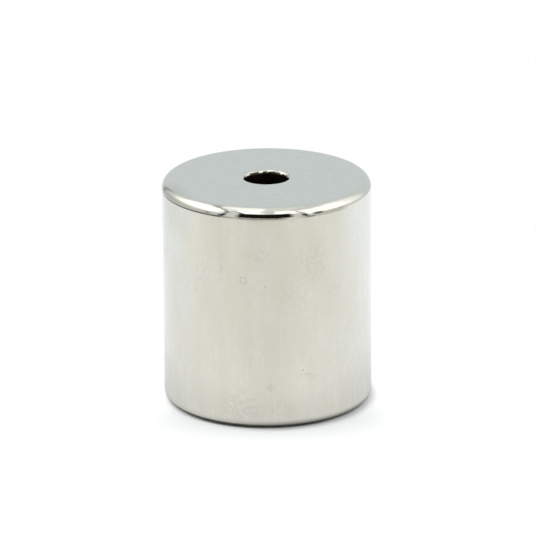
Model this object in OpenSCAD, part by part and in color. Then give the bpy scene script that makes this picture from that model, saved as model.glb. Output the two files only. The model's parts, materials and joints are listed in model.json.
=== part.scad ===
// Ring magnet: one thick ring of sintered magnet alloy. Its outside and both faces
// are ground, its bore is countersunk a little at both ends, its outer edges are
// tumbled round, and it is plated all over. It stands on its flat base with the bore
// upright along +Z, and the origin is the middle of the base, on the bore's axis.

/* [Ring] */
// Diameter over the outside wall
outer_d = 25; // [16:0.5:60]
// Height from the base to the top face
ring_h = 27.5; // [6:0.5:80]

/* [Bore] */
// Diameter of the straight bore that runs right through
bore_d = 5.2; // [2:0.1:8]
// Width of the slanted mouth, where each face meets the bore
mouth_w = 0.3; // [0.1:0.1:1.5]
// Depth of the slanted mouth below the face
mouth_h = 0.2; // [0.1:0.1:1]

/* [Edges] */
// Radius of the tumbled rim, where each face meets the outside wall
rim_r = 1.2; // [0.3:0.1:2]

/* [Hidden] */

// Sides of a full turn
$fn = 180;
outer_r = outer_d / 2;
bore_r = bore_d / 2;
// How far a cut runs past the surface that it opens
overrun = 0.5;

// What tumbling takes off the square outer corner of one face, as [x, z]: the
// corner's own square, less the round that is left. up is 1 on the top face and -1
// on the base.
module tumbled_off(face, up) {
    middle = [outer_r - rim_r, face - up * rim_r];
    lowest = min(middle[1], face + up * overrun);
    difference() {
        translate([middle[0], lowest])
            square(rim_r + overrun);
        translate(middle)
            circle(r = rim_r);
    }
}

// What the countersink takes off the square inner corner of one face: everything
// above a slant that runs from the face down to the bore.
module countersunk(face, up) {
    polygon([
        [bore_r + mouth_w, face],
        [bore_r, face - up * mouth_h],
        [bore_r - overrun, face - up * mouth_h],
        [bore_r - overrun, face + up * overrun],
        [bore_r + mouth_w, face + up * overrun]
    ]);
}

// Half of the ring cut through its axis: a tall block of wall between the bore and
// the outside, with its corners taken off at both faces.
module wall_section() {
    difference() {
        translate([bore_r, 0])
            square([outer_r - bore_r, ring_h]);
        for (end = [[0, -1], [ring_h, 1]]) {
            tumbled_off(end[0], end[1]);
            countersunk(end[0], end[1]);
        }
    }
}

// The whole magnet is the wall's section turned once about the bore's axis.
module ring_magnet() {
    color("silver")
        rotate_extrude()
            wall_section();
}

ring_magnet();
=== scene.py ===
import json
import logging
import math
from collections.abc import Callable
from dataclasses import dataclass
from enum import Enum

import bpy
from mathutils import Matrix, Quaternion, Vector


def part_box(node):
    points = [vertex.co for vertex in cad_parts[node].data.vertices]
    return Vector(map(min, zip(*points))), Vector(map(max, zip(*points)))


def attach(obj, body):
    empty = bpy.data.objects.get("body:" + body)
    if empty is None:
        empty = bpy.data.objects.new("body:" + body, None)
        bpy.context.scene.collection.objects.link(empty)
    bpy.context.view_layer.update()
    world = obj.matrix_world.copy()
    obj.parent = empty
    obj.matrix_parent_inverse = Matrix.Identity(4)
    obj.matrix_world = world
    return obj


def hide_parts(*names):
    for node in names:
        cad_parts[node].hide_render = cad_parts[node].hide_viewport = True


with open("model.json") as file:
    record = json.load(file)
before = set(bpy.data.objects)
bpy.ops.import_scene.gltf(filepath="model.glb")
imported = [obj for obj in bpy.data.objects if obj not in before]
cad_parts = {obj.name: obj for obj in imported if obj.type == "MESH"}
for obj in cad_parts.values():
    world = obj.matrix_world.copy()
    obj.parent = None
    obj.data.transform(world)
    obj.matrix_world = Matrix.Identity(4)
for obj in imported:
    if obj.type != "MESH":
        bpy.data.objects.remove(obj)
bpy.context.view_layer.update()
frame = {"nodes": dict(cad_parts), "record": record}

MM = 0.001
# How near two places have to be to count as one
SLACK = 0.001 * MM
NODE = "ring_magnet"
BORE_MOUNT = "bore"
BODY = "root"

# The Mix node's sockets for colours, since several share one name
MIX_FACTOR, MIX_UNDER, MIX_OVER, MIX_RESULT = 0, 6, 7, 2
# A bevel's profile that makes it a part of a circle
ROUND_PROFILE = 0.5
NOISE_DETAIL = 2.0
HALF_TURN = 180.0

log = logging.getLogger("ring_magnet_scene")


# ---------------------------------------------------------------- node maths


class Value:
    """A shader socket that can be used in arithmetic: each step adds a Math node."""

    def __init__(self, sheet: "NodeSheet", socket: bpy.types.NodeSocket) -> None:
        """Takes a node's output, and the sheet that the node is on."""
        self.sheet = sheet
        self.socket = socket

    def _math(self, operation: str, *terms: "Value | float") -> "Value":
        """Adds one Math node.

        Args:
            operation: The Math node's operation.
            terms: Its inputs in order.

        Returns:
            The node's result.
        """
        return self.sheet.add("ShaderNodeMath", {"operation": operation}, dict(enumerate(terms)))

    def __add__(self, other: "Value | float") -> "Value":
        """This plus other."""
        return self._math("ADD", self, other)

    def __radd__(self, other: float) -> "Value":
        """Other plus this."""
        return self._math("ADD", other, self)

    def __sub__(self, other: "Value | float") -> "Value":
        """This less other."""
        return self._math("SUBTRACT", self, other)

    def __rsub__(self, other: float) -> "Value":
        """Other less this."""
        return self._math("SUBTRACT", other, self)

    def __mul__(self, other: "Value | float") -> "Value":
        """This times other."""
        return self._math("MULTIPLY", self, other)

    def __rmul__(self, other: float) -> "Value":
        """Other times this."""
        return self._math("MULTIPLY", other, self)

    def __truediv__(self, other: "Value | float") -> "Value":
        """This over other."""
        return self._math("DIVIDE", self, other)

    def __abs__(self) -> "Value":
        """The size of this without its sign."""
        return self._math("ABSOLUTE", self)

    def larger(self, other: "Value | float") -> "Value":
        """The larger of this and other."""
        return self._math("MAXIMUM", self, other)

    def ramp(self, start: float, end: float) -> "Value":
        """A smooth step on this.

        Args:
            start: Where the result is 0.
            end: Where the result is 1; it may be below start.

        Returns:
            A value from 0 to 1.
        """
        low, high = min(start, end), max(start, end)
        step = self.sheet.add(
            "ShaderNodeMapRange",
            {"interpolation_type": "SMOOTHSTEP"},
            {"Value": self, "From Min": low, "From Max": high},
        )
        return step if start < end else 1 - step


class NodeSheet:
    """The nodes of one material or of the world."""

    def __init__(self, tree: bpy.types.NodeTree) -> None:
        """Takes a tree and empties it."""
        self.tree = tree
        tree.nodes.clear()

    def add(
        self,
        kind: str,
        settings: dict | None = None,
        sockets: dict | None = None,
        output: int | str = 0,
    ) -> Value:
        """Adds one node.

        Args:
            kind: The node's type.
            settings: Attributes, such as a Math node's operation, set before the sockets.
            sockets: A number, a vector, a colour or a Value for each named or numbered input.
            output: Which output to give back.

        Returns:
            That output, ready for arithmetic.
        """
        node = self.tree.nodes.new(kind)
        for name, setting in (settings or {}).items():
            setattr(node, name, setting)
        for key, given in (sockets or {}).items():
            self.feed(node.inputs[key], given)
        result = node.outputs[output] if len(node.outputs) else None
        return Value(self, result)

    def feed(self, socket: bpy.types.NodeSocket, given: "Value | float | tuple") -> None:
        """Links a Value to a socket, or sets the socket's own value.

        Args:
            socket: The input to fill.
            given: A Value, a number, or a vector or a colour of three numbers.
        """
        if isinstance(given, Value):
            self.tree.links.new(given.socket, socket)
        elif isinstance(given, (tuple, Vector)) and socket.type == "RGBA" and len(given) == 3:
            socket.default_value = (*given, 1.0)
        else:
            socket.default_value = given

    def mix(self, factor: "Value | float", under: "Value | tuple", over: "Value | tuple") -> Value:
        """Blends two colours.

        Args:
            factor: How much of the second colour shows, from 0 to 1.
            under: The first colour.
            over: The second colour.

        Returns:
            The blend.
        """
        return self.add(
            "ShaderNodeMix",
            {"data_type": "RGBA", "clamp_factor": True},
            {MIX_FACTOR: factor, MIX_UNDER: under, MIX_OVER: over},
            output=MIX_RESULT,
        )

    def dot(self, vector: Value, other: tuple | Vector) -> Value:
        """Works out the dot product of a vector and a fixed direction.

        Args:
            vector: The vector.
            other: The direction.

        Returns:
            The product.
        """
        return self.add(
            "ShaderNodeVectorMath",
            {"operation": "DOT_PRODUCT"},
            {0: vector, 1: tuple(other)},
            output="Value",
        )

    def distance(self, vector: Value, place: tuple | Vector) -> Value:
        """Measures how far a fixed place is from a vector.

        Args:
            vector: The vector, such as the shaded point.
            place: The fixed place, in the same units.

        Returns:
            The distance, in those units.
        """
        return self.add(
            "ShaderNodeVectorMath",
            {"operation": "DISTANCE"},
            {0: vector, 1: tuple(place)},
            output="Value",
        )


def noise(sheet: NodeSheet, place: Value, cell: float, stretch: float = 1.0) -> Value:
    """Smooth noise around 0.5.

    Args:
        sheet: The nodes to add it to.
        place: The shaded point, in metres.
        cell: The size of its lumps in metres.
        stretch: How many times taller than wide its lumps are.

    Returns:
        The noise.
    """
    size = (cell, cell, cell * stretch)
    scaled = sheet.add("ShaderNodeMapping", {"vector_type": "TEXTURE"}, {"Vector": place, "Scale": size})
    return sheet.add("ShaderNodeTexNoise", None, {"Vector": scaled, "Scale": 1.0, "Detail": NOISE_DETAIL})


def grey(level: float) -> tuple[float, float, float]:
    """A neutral light of that level."""
    return (level, level, level)


def direction(bearing: float, elevation: float) -> Vector:
    """The unit vector towards a bearing and elevation, in degrees."""
    turn, rise = math.radians(bearing), math.radians(elevation)
    return Vector((math.sin(turn) * math.cos(rise), -math.cos(turn) * math.cos(rise), math.sin(rise)))


# ---------------------------------------------------------------- modelling


def bare_selection() -> None:
    """Leaves nothing selected, in object mode."""
    if bpy.context.object and bpy.context.object.mode != "OBJECT":
        bpy.ops.object.mode_set(mode="OBJECT")
    bpy.ops.object.select_all(action="DESELECT")


def choose(piece: bpy.types.Object, kind: str, wanted: Callable[[Vector], bool]) -> None:
    """Selects the vertices or edges of a piece in edit mode by their place.

    Args:
        piece: The mesh object, in edit mode.
        kind: "VERT" or "EDGE".
        wanted: Takes one vertex's place, and says whether it is wanted; an edge needs both ends.
    """
    bpy.ops.mesh.select_mode(type=kind)
    bpy.ops.mesh.select_all(action="DESELECT")
    bpy.ops.object.mode_set(mode="OBJECT")
    mesh = piece.data
    hits = [wanted(vertex.co) for vertex in mesh.vertices]
    if kind == "VERT":
        for vertex, hit in zip(mesh.vertices, hits):
            vertex.select = hit
    else:
        for edge in mesh.edges:
            edge.select = all(hits[index] for index in edge.vertices)
    bpy.ops.object.mode_set(mode="EDIT")


@dataclass(frozen=True)
class RingSizes:
    """The ring's sizes in metres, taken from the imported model."""

    outer_r: float
    bore_r: float
    height: float
    rim_r: float
    foot_r: float
    mouth_reach: float
    mouth_depth: float

    @classmethod
    def from_frame(cls) -> "RingSizes":
        """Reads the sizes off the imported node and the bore's mount.

        Returns:
            The sizes.
        """
        low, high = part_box(NODE)
        bore = next(mount for mount in frame["record"]["mounts"] if mount["name"] == BORE_MOUNT)
        bore_r = bore["dims"]["r_mm"] * MM
        outer_r = (high.x - low.x) / 2
        height = high.z - low.z
        top_inner, top_outer = cls._flat_edges(high.z)
        return cls(
            outer_r=outer_r,
            bore_r=bore_r,
            height=height,
            rim_r=outer_r - top_outer,
            foot_r=outer_r - cls._flat_edges(low.z)[1],
            mouth_reach=top_inner - bore_r,
            mouth_depth=(height - bore["dims"]["length_mm"] * MM) / 2,
        )

    @staticmethod
    def _flat_edges(level: float) -> tuple[float, float]:
        """Measures the flat face at a level.

        Args:
            level: The face's height in metres.

        Returns:
            Its inner and its outer radius.
        """
        vertices = frame["nodes"][NODE].data.vertices
        flat = [vertex.co for vertex in vertices if abs(vertex.co.z - level) < SLACK]
        reaches = [math.hypot(place.x, place.y) for place in flat]
        return min(reaches), max(reaches)


@dataclass
class PlatedRing:
    """The ring itself: a wall section with round outer corners and slanted mouths, turned once.

    lip_reach and edge_reach are how far the small rounds run along the two sides of the
    slant's corners, at the bore and at the face. The cuts are how often each straight
    stretch of the section is divided. weight says how far large faces lead the normals,
    and same_area how alike two faces are that count as one size.
    """

    sizes: RingSizes
    turn_steps: int = 480
    rim_steps: int = 18
    lip_reach: float = 0.28 * MM
    edge_reach: float = 0.06 * MM
    lip_steps: int = 8
    wall_cuts: int = 22
    face_cuts: int = 5
    weight: int = 100
    same_area: float = SLACK * MM

    def build(self) -> bpy.types.Object:
        """Models the ring.

        Returns:
            The finished piece, at the origin.
        """
        piece = self._section()
        self._round_corners(piece)
        self._open_mouths(piece)
        self._cut_walls(piece)
        self._turn()
        self._smooth(piece)
        return piece

    def _section(self) -> bpy.types.Object:
        """Lays down the wall's sharp section as one upright face.

        Returns:
            The section's object.
        """
        sizes = self.sizes
        bare_selection()
        middle = Vector(((sizes.outer_r + sizes.bore_r) / 2, 0, sizes.height / 2))
        bpy.ops.mesh.primitive_plane_add(size=1.0, location=middle, rotation=(math.pi / 2, 0, 0))
        piece = bpy.context.object
        piece.name = "plated_ring"
        piece.scale = (sizes.outer_r - sizes.bore_r, sizes.height, 1)
        bpy.ops.object.transform_apply(location=True, rotation=True, scale=True)
        return piece

    def _round_corners(self, piece: bpy.types.Object) -> None:
        """Rounds the two outer corners of the section, at the rim and at the foot.

        Args:
            piece: The section.
        """
        sizes = self.sizes
        bpy.ops.object.mode_set(mode="EDIT")
        for radius, level in ((sizes.rim_r, sizes.height), (sizes.foot_r, 0.0)):
            corner = Vector((sizes.outer_r, 0, level))
            self._bevel(piece, radius, self.rim_steps, lambda place: (place - corner).length < SLACK)

    def _open_mouths(self, piece: bpy.types.Object) -> None:
        """Cuts the bore's two mouths slantwise and breaks their edges, then keeps the outline alone.

        Args:
            piece: The section, in edit mode.
        """
        sizes = self.sizes
        mouth_r = sizes.bore_r + sizes.mouth_reach
        for level, outwards in ((sizes.height, 1), (0.0, -1)):
            bpy.ops.mesh.select_all(action="SELECT")
            slant = Vector((-sizes.mouth_depth, 0, outwards * sizes.mouth_reach)).normalized()
            bpy.ops.mesh.bisect(plane_co=(mouth_r, 0, level), plane_no=slant, clear_outer=True)
        for reach, edge_r in ((self.lip_reach, sizes.bore_r), (self.edge_reach, mouth_r)):
            self._bevel(piece, reach, self.lip_steps, lambda place: abs(place.x - edge_r) < SLACK)
        bpy.ops.mesh.select_all(action="SELECT")
        bpy.ops.mesh.delete(type="ONLY_FACE")

    @staticmethod
    def _bevel(
        piece: bpy.types.Object, reach: float, steps: int, wanted: Callable[[Vector], bool]
    ) -> None:
        """Rounds some corners of the section.

        Args:
            piece: The section, in edit mode.
            reach: How far each round runs along its two sides.
            steps: The round's segments.
            wanted: Takes a vertex's place, and says whether that corner is rounded.
        """
        choose(piece, "VERT", wanted)
        bpy.ops.mesh.bevel(
            offset_type="OFFSET",
            offset=reach,
            segments=steps,
            profile=ROUND_PROFILE,
            affect="VERTICES",
        )

    def _cut_walls(self, piece: bpy.types.Object) -> None:
        """Divides the straight stretches of the section, so that no face is long and thin.

        Args:
            piece: The section's outline, in edit mode.
        """
        sizes = self.sizes
        stretches = (
            (self.wall_cuts, lambda place: place.x > sizes.outer_r - SLACK),
            (self.wall_cuts, lambda place: place.x < sizes.bore_r + SLACK),
            (self.face_cuts, lambda place: place.z > sizes.height - SLACK),
            (self.face_cuts, lambda place: place.z < SLACK),
        )
        for cuts, wanted in stretches:
            choose(piece, "EDGE", wanted)
            bpy.ops.mesh.subdivide(number_cuts=cuts)

    def _turn(self) -> None:
        """Turns the section once about the bore's axis and closes the seam."""
        bpy.ops.mesh.select_all(action="SELECT")
        bpy.ops.mesh.spin(
            steps=self.turn_steps, angle=math.tau, center=(0, 0, 0), axis=(0, 0, 1), use_auto_merge=True
        )
        bpy.ops.mesh.select_all(action="SELECT")
        bpy.ops.mesh.remove_doubles(threshold=SLACK)
        bpy.ops.mesh.normals_make_consistent(inside=False)
        bpy.ops.object.mode_set(mode="OBJECT")

    def _smooth(self, piece: bpy.types.Object) -> None:
        """Shades the ring smooth, with the flats kept flat up to the rounds.

        Args:
            piece: The turned ring.
        """
        bpy.ops.object.shade_smooth()
        weighted = piece.modifiers.new("flats", "WEIGHTED_NORMAL")
        weighted.mode = "FACE_AREA"
        weighted.weight = self.weight
        weighted.thresh = self.same_area
        bpy.ops.object.modifier_apply(modifier=weighted.name)


# ---------------------------------------------------------------- finish


class MarkKind(Enum):
    """What a small mark on the plating looks like."""

    HAZE = "haze"
    DULL = "dull"
    PIT = "pit"
    RING = "ring"


# Where each kind is gone and where it is full, in half sizes of the mark: from its middle,
# or from the ring's own line, which lies at RING_LINE
MARK_EDGES = {
    MarkKind.HAZE: (1.0, 0.0),
    MarkKind.DULL: (1.0, 0.2),
    MarkKind.PIT: (1.0, 0.4),
    MarkKind.RING: (0.3, 0.05),
}
RING_LINE = 0.7
GRAINED_MARKS = (MarkKind.DULL, MarkKind.RING)
GRAIN_EDGE = (0.42, 0.62)


@dataclass(frozen=True)
class Mark:
    """A small mark on the outside wall: bearing and lean in degrees, height and size in millimetres.

    grain is the size of the specks that a dull patch or a ring is made of. reach is how far
    into the metal the mark is looked for, so that it follows the wall's curve.
    """

    kind: MarkKind
    bearing: float
    height: float
    half_width: float
    half_height: float
    strength: float
    lean: float = 0.0
    grain: float = 0.4
    reach: float = 3.0

    def mask(self, sheet: NodeSheet, place: Value, outer_r: float) -> Value:
        """Works out how strongly the mark shows at a place.

        Args:
            sheet: The material's nodes.
            place: The shaded point, in metres.
            outer_r: The wall's radius in metres.

        Returns:
            A value from 0 to the mark's strength.
        """
        centre = direction(self.bearing, 0) * outer_r + Vector((0, 0, self.height * MM))
        turn = (0, math.radians(self.lean), math.radians(self.bearing))
        size = (self.half_width * MM, self.reach * MM, self.half_height * MM)
        local = sheet.add(
            "ShaderNodeMapping",
            {"vector_type": "TEXTURE"},
            {"Vector": place, "Location": centre, "Rotation": turn, "Scale": size},
        )
        away = sheet.distance(local, (0, 0, 0))
        if self.kind is MarkKind.RING:
            away = abs(away - RING_LINE)
        shape = away.ramp(*MARK_EDGES[self.kind])
        if self.kind not in GRAINED_MARKS:
            return shape * self.strength
        grain = noise(sheet, place, cell=self.grain * MM).ramp(*GRAIN_EDGE)
        return shape * (grain * self.strength)


@dataclass(frozen=True)
class RimLine:
    """A stretch of the dark line painted under the rim, a painted reflection: its bearing, where it is
    gone and where full, in degrees.
    """

    bearing: float
    faded: float
    full: float
    strength: float

    def mask(self, sheet: NodeSheet, place: Value, outer_r: float) -> Value:
        """Works out how strongly the painted line shows at a place.

        Args:
            sheet: The material's nodes.
            place: The shaded point, in metres.
            outer_r: The wall's radius in metres.

        Returns:
            A value from 0 to the stretch's strength.
        """
        near = sheet.dot(place, direction(self.bearing, 0)) / outer_r
        gone, full = (math.cos(math.radians(angle)) for angle in (self.faded, self.full))
        return near.ramp(gone, full) * self.strength


@dataclass(frozen=True)
class ZoneEdges:
    """Where each zone of the finish is gone and where it is full, in metres.

    outside and inside are shares of the rim's radius and of the mouth's reach. wall is
    measured from the end of the straight wall, face, mouth_top and mouth_foot down from the
    face, bore from the bore's wall, and under_rim up and down from line_drop below the round.
    """

    outside: tuple[float, float] = (1.0, 0.9)
    inside: tuple[float, float] = (1.0, 0.9)
    wall: tuple[float, float] = (0.15 * MM, -0.1 * MM)
    face: tuple[float, float] = (0.04 * MM, 0.01 * MM)
    bore: tuple[float, float] = (0.08 * MM, 0.02 * MM)
    mouth_top: tuple[float, float] = (0.1 * MM, 0.2 * MM)
    mouth_foot: tuple[float, float] = (0.8 * MM, 0.5 * MM)
    under_rim: tuple[float, float] = (0.145 * MM, 0.045 * MM)
    line_drop: float = 0.03 * MM


@dataclass(frozen=True)
class Zones:
    """Where a point lies on the ring: each is 1 inside its zone and 0 outside."""

    wall: Value
    face: Value
    bore: Value
    mouth: Value
    under_rim: Value

    @classmethod
    def of(cls, sheet: NodeSheet, place: Value, sizes: RingSizes, edges: ZoneEdges) -> "Zones":
        """Works the zones out from the place.

        Args:
            sheet: The material's nodes.
            place: The shaded point, in metres.
            sizes: The ring's sizes.
            edges: Where the zones start and end.

        Returns:
            The masks.
        """
        height = sheet.dot(place, (0, 0, 1))
        flat = sheet.add("ShaderNodeVectorMath", {"operation": "MULTIPLY"}, {0: place, 1: (1, 1, 0)})
        reach = sheet.distance(flat, (0, 0, 0))
        middle = sizes.height / 2
        from_middle = abs(height - middle)
        depth = from_middle * -1.0 + middle
        line = sizes.height - sizes.rim_r - edges.line_drop
        outside = reach.ramp(*(sizes.outer_r - sizes.rim_r * share for share in edges.outside))
        inside = reach.ramp(*(sizes.bore_r + sizes.mouth_reach * share for share in edges.inside))
        return cls(
            wall=outside * from_middle.ramp(*(middle - sizes.rim_r + past for past in edges.wall)),
            face=from_middle.ramp(*(middle - below for below in edges.face)),
            bore=reach.ramp(*(sizes.bore_r + past for past in edges.bore)),
            mouth=inside * depth.ramp(*edges.mouth_top) * depth.ramp(*edges.mouth_foot),
            under_rim=outside * abs(height - line).ramp(*edges.under_rim),
        )


@dataclass(frozen=True)
class BrightNickel:
    """Bright nickel plate over a ground and tumbled ring, a little handled.

    A cell is the size of a noise's lumps, a stretch how many times taller than wide they
    are, and an edge where on the noise something is gone and where it is full. The clouds
    are of stain. The mottle and the streaks lie between two tones, tone_spread darker and
    lighter than tone. The painted reflection is a broken dark line painted under the rim,
    standing in for a dark edge that the rim mirrors; it is gone and full where the cosine
    of the way round from its bearing is its reach. The bore is painted dark as shade.
    haze_floor is the least share of a zone's roughness, and haze_spread is what handling
    adds. The wobbles are how deep the ripple is on the rounds and on the flats, and the
    lines are those of grinding.
    """

    tone: tuple[float, float, float] = (0.797, 0.787, 0.698)
    # the dark colour of the marks and the nicks, and of the painted reflection line under the rim
    soil_and_painted_reflection: tuple[float, float, float] = (0.05, 0.045, 0.03)
    # painted shade: the bore's nickel wall is painted nearly black, standing in for the shade deep inside
    # the bore
    bore_painted_shade: tuple[float, float, float] = (0.11, 0.09, 0.065)
    tone_spread: float = 0.08
    stain: tuple[float, float, float] = (0.786, 0.767, 0.664)
    stain_share: float = 0.75
    wall_roughness: float = 0.085
    rim_roughness: float = 0.055
    face_roughness: float = 0.1
    bore_roughness: float = 0.3
    haze_floor: float = 0.8
    haze_spread: float = 0.4
    haze_cell: float = 3 * MM
    cloud_cell: float = 2.6 * MM
    cloud_stretch: float = 2.2
    cloud_edge: tuple[float, float] = (0.34, 0.66)
    mottle_cell: float = 0.8 * MM
    mottle_share: float = 0.7
    streak_cell: float = 0.5 * MM
    streak_stretch: float = 20
    streak_share: float = 0.5
    # painted reflection: these paint a broken dark line under the rim, standing in for a dark edge that
    # the rim mirrors
    painted_reflection_cell: float = 0.9 * MM
    painted_reflection_edge: tuple[float, float] = (0.45, 0.6)
    painted_reflection_bearing: float = -20
    painted_reflection_reach: tuple[float, float] = (0.83, 0.93)
    painted_reflection_strength: float = 0.5
    nick_cell: float = 1.1 * MM
    nick_edge: tuple[float, float] = (0.5, 0.56)
    ripple_cell: float = 1.3 * MM
    rim_wobble: float = 0.016 * MM
    wall_wobble: float = 0.0012 * MM
    line_cell: float = 0.35 * MM
    line_stretch: float = 25
    grain: float = 0.00015 * MM
    edges: ZoneEdges = ZoneEdges()
    # painted reflection: stretches of the dark line painted under the rim
    rim_lines: tuple[RimLine, ...] = (
        RimLine(-60, 54, 22, 0.86),
        RimLine(-29, 5, 2, 0.92),
        RimLine(-3, 16, 11, 0.6),
        RimLine(24.5, 4, 1.5, 0.7),
        RimLine(33, 19, 11, 0.38),
    )
    marks: tuple[Mark, ...] = (
        Mark(MarkKind.RING, -13, 18.6, 0.6, 0.55, 0.22, 0, 0.2),
        Mark(MarkKind.PIT, -12.5, 18.4, 0.1, 0.1, 0.2),
        Mark(MarkKind.PIT, -1, 17.9, 0.13, 0.12, 0.4),
        Mark(MarkKind.DULL, -4, 17, 0.6, 0.3, 0.08, 30),
        Mark(MarkKind.RING, 28.5, 21.7, 0.4, 0.3, 0.14, 0, 0.3),
        Mark(MarkKind.PIT, 19.5, 7.2, 0.16, 0.13, 0.35),
        Mark(MarkKind.PIT, 15.5, 7.9, 0.12, 0.1, 0.18),
        Mark(MarkKind.PIT, 12.5, 8.4, 0.1, 0.1, 0.15),
        Mark(MarkKind.DULL, 22, 6.4, 2.2, 0.7, 0.12, 10, 0.25),
        Mark(MarkKind.PIT, 40, 17.1, 0.12, 0.1, 0.2),
        Mark(MarkKind.PIT, 80, 11.5, 0.12, 0.12, 0.4),
        Mark(MarkKind.DULL, 1.5, 5.2, 0.9, 1.0, 0.13, 30, 0.2),
        Mark(MarkKind.DULL, -15, 3, 4.6, 2.8, 0.08, 0, 0.35),
        Mark(MarkKind.DULL, 8, 2.6, 3.6, 1.6, 0.05, 0, 0.3),
        Mark(MarkKind.DULL, 24, 20.2, 5.4, 3.6, 0.07, -40, 0.28),
        Mark(MarkKind.DULL, 38, 17.5, 2.0, 3.4, 0.06, -20, 0.22),
        Mark(MarkKind.DULL, 12, 17, 3.4, 3.8, 0.05, -20, 0.3),
        Mark(MarkKind.DULL, -26, 20.5, 0.6, 3.6, 0.08, 0, 0.4),
        Mark(MarkKind.DULL, -40, 17.5, 2.6, 5.5, 0.05, 0, 0.35),
        Mark(MarkKind.DULL, -5, 22, 2.6, 2.4, 0.06, 0, 0.35),
        Mark(MarkKind.DULL, -74, 20.3, 2.4, 4.4, 0.2, 0, 0.25),
        Mark(MarkKind.HAZE, -66, 25, 6, 7, 0.17),
        Mark(MarkKind.HAZE, -62, 17, 5, 12, 0.07),
        Mark(MarkKind.DULL, -5, 10, 3.6, 6.0, 0.03, 0, 0.35),
    )

    def dress(self, piece: bpy.types.Object, sizes: RingSizes) -> None:
        """Gives the piece its nickel.

        Args:
            piece: The ring.
            sizes: The ring's sizes, for the zones of the finish.
        """
        material = bpy.data.materials.new("bright_nickel")
        material.use_nodes = True
        sheet = NodeSheet(material.node_tree)
        place = sheet.add("ShaderNodeTexCoord", output="Object")
        zones = Zones.of(sheet, place, sizes, self.edges)
        shader = sheet.add(
            "ShaderNodeBsdfPrincipled",
            None,
            {
                "Base Color": self._colour(sheet, place, zones, sizes),
                "Metallic": 1.0,
                "Roughness": self._roughness(sheet, place, zones),
                "Normal": self._relief(sheet, place, zones),
            },
        )
        sheet.add("ShaderNodeOutputMaterial", None, {"Surface": shader})
        piece.data.materials.clear()
        piece.data.materials.append(material)

    def _colour(self, sheet: NodeSheet, place: Value, zones: Zones, sizes: RingSizes) -> Value:
        """Mixes the nickel's tone, gently mottled, with its marks, its nicks, a painted reflection line
        under the rim and the bore painted dark as shade.

        Args:
            sheet: The material's nodes.
            place: The shaded point, in metres.
            zones: The zones of the finish.
            sizes: The ring's sizes.

        Returns:
            The colour.
        """
        cloud = noise(sheet, place, self.cloud_cell, self.cloud_stretch).ramp(*self.cloud_edge)
        mottle = noise(sheet, place, self.mottle_cell)
        streak = noise(sheet, place, self.streak_cell, self.streak_stretch)
        shade = mottle * self.mottle_share + streak * self.streak_share
        darker, lighter = (
            tuple(channel * (1 + side * self.tone_spread) for channel in self.tone) for side in (-1, 1)
        )
        mottled = sheet.mix(shade, darker, lighter)
        colour = sheet.mix(cloud * zones.wall * self.stain_share, mottled, self.stain)
        # paints the bore's wall dark as shade
        colour = sheet.mix(zones.bore, colour, self.bore_painted_shade)
        # painted reflection: the dark line under the rim is mixed in here with the nicks and the marks
        soiled_and_painted = self._rim_line(sheet, place, zones, sizes).larger(self._nicks(sheet, place, zones))
        for mark in self.marks:
            soiled_and_painted = soiled_and_painted.larger(mark.mask(sheet, place, sizes.outer_r))
        return sheet.mix(soiled_and_painted, colour, self.soil_and_painted_reflection)

    def _rim_line(self, sheet: NodeSheet, place: Value, zones: Zones, sizes: RingSizes) -> Value:
        """Paints the thin dark line on the wall just under the rim, broken at the front: a painted
        reflection of a dark edge that the rim mirrors.

        Args:
            sheet: The material's nodes.
            place: The shaded point, in metres.
            zones: The zones of the finish.
            sizes: The ring's sizes.

        Returns:
            How dark the painted line is, from 0 to 1.
        """
        front = sheet.dot(place, direction(self.painted_reflection_bearing, 0)) / sizes.outer_r
        broken = noise(sheet, place, self.painted_reflection_cell).ramp(*self.painted_reflection_edge)
        line = broken * front.ramp(*self.painted_reflection_reach) * self.painted_reflection_strength
        for stretch in self.rim_lines:
            line = line.larger(stretch.mask(sheet, place, sizes.outer_r))
        return zones.under_rim * line

    def _nicks(self, sheet: NodeSheet, place: Value, zones: Zones) -> Value:
        """Small dark chips along the bore's mouth."""
        return zones.mouth * noise(sheet, place, self.nick_cell).ramp(*self.nick_edge)

    def _roughness(self, sheet: NodeSheet, place: Value, zones: Zones) -> Value:
        """Works out how dull each zone is, with a faint haze of handling.

        Args:
            sheet: The material's nodes.
            place: The shaded point, in metres.
            zones: The zones of the finish.

        Returns:
            The roughness.
        """
        haze = noise(sheet, place, self.haze_cell)
        base = self.rim_roughness + zones.wall * (self.wall_roughness - self.rim_roughness)
        base = base + zones.face * (self.face_roughness - self.rim_roughness)
        base = base + zones.bore * (self.bore_roughness - self.rim_roughness)
        return base * (self.haze_floor + haze * self.haze_spread)

    def _relief(self, sheet: NodeSheet, place: Value, zones: Zones) -> Value:
        """Makes the ripple that tumbling leaves on the edges, and the grinding lines on the wall.

        Args:
            sheet: The material's nodes.
            place: The shaded point, in metres.
            zones: The zones of the finish.

        Returns:
            The bumped normal.
        """
        ripple = noise(sheet, place, self.ripple_cell)
        flat = zones.wall.larger(zones.face)
        depth = self.rim_wobble + flat * (self.wall_wobble - self.rim_wobble)
        lines = noise(sheet, place, self.line_cell, self.line_stretch)
        height = ripple * depth + lines * zones.wall * self.grain
        return sheet.add("ShaderNodeBump", None, {"Strength": 1.0, "Distance": 1.0, "Height": height})


# ---------------------------------------------------------------- studio


@dataclass(frozen=True)
class Sky:
    """A ray that leaves for the tent, with its bearing and elevation in degrees."""

    sheet: NodeSheet
    ray: Value
    bearing: Value
    elevation: Value


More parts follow.
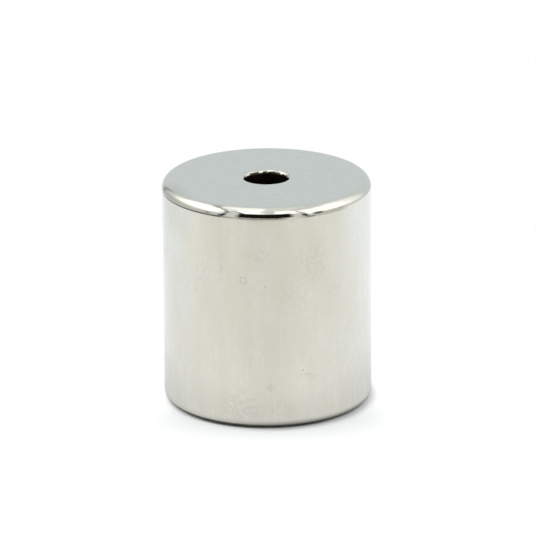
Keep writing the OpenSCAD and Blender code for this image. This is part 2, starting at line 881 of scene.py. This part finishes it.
@dataclass(frozen=True)
class Patch:
    """A soft-edged area of the tent's cloth, by bearing and elevation from the ring, in degrees.

    Bearing 0 is the tent's front, and it grows towards the right. lean is how far the
    patch's middle line moves to the right for each degree that it rises.
    """

    name: str
    bearing: float
    elevation: float
    half_width: float
    half_height: float
    soft: float
    light: tuple[float, float, float]
    soft_height: float | None = None
    lean: float = 0.0

    def mask(self, sky: Sky) -> Value:
        """Works out how far a ray lies in the patch.

        Args:
            sky: The ray.

        Returns:
            A value from 0 to 1.
        """
        rise = sky.elevation - self.elevation
        aside = sky.bearing - self.bearing
        if self.lean:
            aside = aside - rise * self.lean
        wrap = {0: aside, 1: HALF_TURN, 2: -HALF_TURN}
        aside = sky.sheet.add("ShaderNodeMath", {"operation": "WRAP"}, wrap)
        half = self.soft / 2
        half_up = (self.soft if self.soft_height is None else self.soft_height) / 2
        across = abs(aside).ramp(self.half_width + half, self.half_width - half)
        upward = abs(rise).ramp(self.half_height + half_up, self.half_height - half_up)
        return across * upward


@dataclass(frozen=True)
class Seam:
    """A sewn seam or a rod of the tent that runs through some directions, in degrees.

    edge is where it is gone and where full, in half widths from its middle line, and end
    is the same along each stretch, in cosines from where the stretch ends.
    """

    name: str
    course: tuple[tuple[float, float], ...]
    half_width: float
    light: tuple[float, float, float]
    edge: tuple[float, float] = (1.6, 0.2)
    end: tuple[float, float] = (-0.004, 0.001)

    def mask(self, sky: Sky) -> Value:
        """Works out how far a ray lies on the seam.

        Args:
            sky: The ray.

        Returns:
            A value from 0 to 1.
        """
        width = math.sin(math.radians(self.half_width))
        mask = None
        for start_at, end_at in zip(self.course, self.course[1:]):
            start, end = direction(*start_at), direction(*end_at)
            across = start.cross(end).normalized()
            middle = (start + end).normalized()
            reach = middle.dot(start)
            on_line = abs(sky.sheet.dot(sky.ray, across)).ramp(*(width * share for share in self.edge))
            stretch = on_line * sky.sheet.dot(sky.ray, middle).ramp(*(reach + past for past in self.end))
            mask = stretch if mask is None else mask.larger(stretch)
        return mask


@dataclass(frozen=True)
class LightTent:
    """A white cloth tent, lit from both sides and above, and open at the front."""

    cloth: tuple[float, float, float] = (0.65, 0.70, 0.745)
    features: tuple[Patch | Seam, ...] = (
        Patch("roof_right", 90, 78, 100, 12, 30, grey(0.8), 12),
        Patch("roof", -88, 82, 84, 18, 22, grey(1.2), 14),
        Patch("side_left", -94, 37, 38, 26, 26, grey(0.95), 22),
        Patch("lamp_left", -90, 38, 34, 18, 20, grey(1.5), 16),
        Patch("lamp_roof_left", -30, 62, 20, 28, 8, grey(1.5), 12, -0.5),
        Patch("side_right", 72, 27, 54, 30, 22, grey(1.02), 14),
        Patch("lamp_right", 74, 32, 32, 21, 18, grey(1.35), 14),
        Patch("lamp_front_right", 25, 48, 14, 18, 8, grey(1.4), 12, 0.15),
        Patch("front_strip", 0, 62, 5.5, 42, 14, grey(0.78), 10),
        Patch("foot_left", -104, -8, 50, 16, 12, grey(0.6), 16),
        Patch("foot_right", 76, -14, 42, 14, 14, grey(0.68), 18),
        Patch("frame_left", -38, 2, 8, 26, 6, grey(0.72), 10),
        Patch("frame_right", 33, 0, 9, 28, 8, grey(0.68), 12),
        Patch("stand_left", -67, -1, 2.5, 9, 6, grey(0.25), 10),
        Patch("shelf_right", 78, -3, 15, 7, 12, grey(0.5), 8),
        Patch("stand_right", 58, 3, 5.5, 11, 8, grey(0.1), 14),
        Patch("stand_back", -147, 8, 3, 16, 8, grey(0.32), 14, 0.15),
        Seam("left_lower", ((-53, -20), (-49, 0), (-47, 14)), 3.6, grey(0.02)),
        Seam(
            "left_upper",
            ((-46, 18), (-48, 36), (-58, 50), (-80, 59), (-120, 62), (-150, 58)),
            2.6,
            grey(0.45),
        ),
        Seam("left_shoulder", ((-47, 14), (-49, 38), (-58, 50)), 2.4, grey(0.32)),
        Seam("left_brace", ((-27, 26), (-32, 38), (-44, 50)), 3.0, grey(0.25)),
        Seam("right_lower", ((46, -20), (42, 0), (41, 14)), 3.4, grey(0.02)),
        Seam("right_upper", ((41, 14), (41, 26), (42, 50)), 1.8, grey(0.5)),
        Seam("right_arc", ((58, 66), (80, 70), (110, 68)), 1.6, grey(0.6)),
        Patch("opening", -2.5, 7, 30, 27, 8, (0.009, 0.008, 0.0055), 9),
        Patch("corner_left", -25, -14, 7, 4, 8, grey(0.35), 8),
        Patch("corner_right", 22, -14, 5.5, 4, 6, grey(0.4), 8),
    )

    def pitch(self) -> None:
        """Paints the tent into the world; the camera itself sees plain white."""
        world = bpy.data.worlds.new("light_tent")
        bpy.context.scene.world = world
        world.use_nodes = True
        sheet = NodeSheet(world.node_tree)
        ray = sheet.add("ShaderNodeTexCoord", output="Generated")
        x, y, z = (sheet.dot(ray, axis) for axis in ((1, 0, 0), (0, 1, 0), (0, 0, 1)))
        degrees = HALF_TURN / math.pi
        bearing = sheet.add("ShaderNodeMath", {"operation": "ARCTAN2"}, {0: x, 1: y * -1.0}) * degrees
        elevation = sheet.add("ShaderNodeMath", {"operation": "ARCSINE"}, {0: z}) * degrees
        sky = Sky(sheet, ray, bearing, elevation)
        light = self.cloth
        for feature in self.features:
            light = sheet.mix(feature.mask(sky), light, feature.light)
            light.socket.node.label = feature.name
        plain = sheet.add("ShaderNodeBackground", None, {"Color": grey(1.0), "Strength": 1.0})
        tent = sheet.add("ShaderNodeBackground", None, {"Color": light, "Strength": 1.0})
        seen = sheet.add("ShaderNodeLightPath", output="Is Camera Ray")
        shown = sheet.add("ShaderNodeMixShader", None, {0: seen, 1: tent, 2: plain})
        sheet.add("ShaderNodeOutputWorld", None, {"Surface": shown})


@dataclass(frozen=True)
class Contact:
    """How much darker the sheet is close under the ring's foot than its open shadow.

    soft, gap and mirrored are where each is gone and where full, in metres out from the
    ring's wall: the soft shade at the right, the gap under the foot's round at the front,
    and what the plating mirrors of it. to_right and to_front are the same round the ring,
    where 1 is straight towards that side and -1 straight away from it.
    """

    soft: tuple[float, float] = (1.1 * MM, -0.2 * MM)
    soft_strength: float = 0.3
    to_right: tuple[float, float] = (-0.5, 0.2)
    gap: tuple[float, float] = (-0.1 * MM, -0.6 * MM)
    gap_strength: float = 0.6
    to_front: tuple[float, float] = (0.5, 0.95)
    mirrored: tuple[float, float] = (0.1 * MM, -0.4 * MM)
    mirrored_strength: float = 0.7

    def mask(self, sheet: NodeSheet, place: Value, reach: Value, ring: RingSizes) -> Value:
        """Works out how dark the contact is at a place.

        Args:
            sheet: The floor material's nodes.
            place: The shaded point, in metres.
            reach: Its distance from the ring's axis.
            ring: The ring's sizes.

        Returns:
            A value from 0 to 1.
        """
        glossy = sheet.add("ShaderNodeLightPath", output="Is Glossy Ray")
        to_right = (sheet.dot(place, (1, 0, 0)) / reach).ramp(*self.to_right)
        to_front = (sheet.dot(place, (0, -1, 0)) / reach).ramp(*self.to_front)
        soft, gap, mirrored = (
            reach.ramp(*(ring.outer_r + past for past in fade))
            for fade in (self.soft, self.gap, self.mirrored)
        )
        darkest = (soft * to_right * self.soft_strength).larger(gap * to_front * self.gap_strength)
        return darkest.larger(mirrored * glossy * self.mirrored_strength)


@dataclass(frozen=True)
class WhiteSheet:
    """The round white sheet that the ring stands on.

    front and back are its light for the ring, and camera_near, camera_far and camera_beside
    for the camera. Each fade is where something is gone and where it is full: depth_fade
    takes front over into back, in metres towards the back; ahead_fade is the ring's shade
    on the sheet ahead of it, in degrees round from the front; near_fade its shade all
    round, in metres from the axis; beside_fade takes the camera's light over into
    camera_beside, where 1 is the front and 0 the sides; and clear_fade is the plain white
    that the camera sees, in radii of the sheet. away_reach is where camera_far is full, in
    the ring's radii, and lift_reach where lift_share, the plain part of what the ring
    mirrors, is full, in metres from the wall.
    """

    radius: float = 108 * MM
    sides: int = 180
    front: tuple[float, float, float] = (0.86, 0.855, 0.84)
    back: tuple[float, float, float] = (1.01, 1.035, 1.1)
    camera_near: tuple[float, float, float] = (1.08, 1.11, 1.105)
    camera_far: tuple[float, float, float] = (1.25, 1.25, 1.25)
    camera_beside: tuple[float, float, float] = (1.5, 1.5, 1.5)
    depth_fade: tuple[float, float] = (-60 * MM, 45 * MM)
    ahead_fade: tuple[float, float] = (32, 6)
    ahead_shade: float = 0.04
    near_fade: tuple[float, float] = (30 * MM, 14 * MM)
    near_shade: float = 0.1
    beside_fade: tuple[float, float] = (0.75, 0.0)
    clear_fade: tuple[float, float] = (0.15, 0.7)
    away_reach: float = 1.8
    lift_reach: float = 3 * MM
    lift_share: float = 0.5
    contact: Contact = Contact()

    def lay(self, ring: RingSizes) -> None:
        """Lays the sheet.

        Args:
            ring: The sizes of the ring that stands on it.
        """
        bare_selection()
        bpy.ops.mesh.primitive_circle_add(vertices=self.sides, radius=self.radius, fill_type="NGON")
        floor = bpy.context.object
        floor.name = "white_sheet"
        material = bpy.data.materials.new("white_sheet")
        material.use_nodes = True
        self._paper(NodeSheet(material.node_tree), ring)
        floor.data.materials.append(material)

    def _paper(self, sheet: NodeSheet, ring: RingSizes) -> None:
        """Makes the paper, which fades into plain white for the camera.

        Args:
            sheet: The nodes of the paper's material.
            ring: The sizes of the ring.
        """
        place = sheet.add("ShaderNodeTexCoord", output="Object")
        seen = sheet.add("ShaderNodeLightPath", output="Is Camera Ray")
        glossy = sheet.add("ShaderNodeLightPath", output="Is Glossy Ray")
        reach = sheet.distance(place, (0, 0, 0))
        depth = sheet.dot(place, (0, 1, 0))
        to_front = depth * -1.0 / reach
        ahead = to_front.ramp(*(math.cos(math.radians(angle)) for angle in self.ahead_fade))
        shaded = ahead * self.ahead_shade + reach.ramp(*self.near_fade) * self.near_shade
        lit = sheet.mix(depth.ramp(*self.depth_fade), self.front, self.back)
        lit = sheet.mix(shaded, lit, grey(0.0))
        away = reach.ramp(ring.outer_r, ring.outer_r * self.away_reach)
        shown = sheet.mix(away, self.camera_near, self.camera_far)
        shown = sheet.mix(to_front.ramp(*self.beside_fade), shown, self.camera_beside)
        bright = sheet.mix(seen, lit, shown)
        tone = sheet.mix(self.contact.mask(sheet, place, reach, ring), bright, grey(0.0))
        lift = reach.ramp(ring.outer_r, ring.outer_r + self.lift_reach) * self.lift_share
        clear = reach.ramp(*(self.radius * share for share in self.clear_fade))
        paper = sheet.add("ShaderNodeBsdfDiffuse", None, {"Color": tone})
        plain = sheet.add("ShaderNodeEmission", None, {"Color": lit, "Strength": 1.0})
        white = sheet.add("ShaderNodeEmission", None, {"Color": grey(1.0), "Strength": 1.0})
        mirrored = sheet.add("ShaderNodeMixShader", None, {0: glossy * lift, 1: paper, 2: plain})
        surface = sheet.add("ShaderNodeMixShader", None, {0: seen * clear, 1: mirrored, 2: white})
        sheet.add("ShaderNodeOutputMaterial", None, {"Surface": surface})


@dataclass(frozen=True)
class Viewpoint:
    """The camera: where it stands, what it aims at and how long its lens is.

    The angles are in degrees. The distance and the aim are taken from the middle of the
    ring's height, and tilt turns the picture about its own middle.
    """

    bearing: float = 0.0
    elevation: float = 18.782
    distance: float = 0.7
    lens_mm: float = 391.6
    aim_above_middle: float = 2.295 * MM
    aim_right: float = 0.11 * MM
    tilt: float = 0.45
    nearest: float = 0.01
    farthest: float = 10.0

    def place(self, height: float) -> None:
        """Puts the camera up.

        Args:
            height: The object's height, whose middle the distance is measured from.
        """
        camera = bpy.data.objects.new("camera", bpy.data.cameras.new("camera"))
        bpy.context.scene.collection.objects.link(camera)
        camera.data.lens = self.lens_mm
        camera.data.clip_start = self.nearest
        camera.data.clip_end = self.farthest
        middle = Vector((0, 0, height / 2))
        camera.location = middle + direction(self.bearing, self.elevation) * self.distance
        aim = middle + Vector((self.aim_right, 0, self.aim_above_middle))
        forward = (aim - camera.location).normalized()
        tilted = Quaternion(forward, math.radians(self.tilt)) @ forward.to_track_quat("-Z", "Y")
        camera.rotation_euler = tilted.to_euler()
        bpy.context.scene.camera = camera


def main() -> None:
    """Builds the ring, the studio and the camera."""
    logging.basicConfig(level=logging.INFO, format="%(message)s")
    sizes = RingSizes.from_frame()
    log.info("sizes: %s", sizes)
    ring = PlatedRing(sizes).build()
    BrightNickel().dress(ring, sizes)
    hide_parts(NODE)
    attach(ring, BODY)
    log.info("%s: %d faces", ring.name, len(ring.data.polygons))
    LightTent().pitch()
    WhiteSheet().lay(sizes)
    Viewpoint().place(sizes.height)
    bpy.context.scene.view_settings.view_transform = "Standard"


if __name__ == "__main__":
    main()
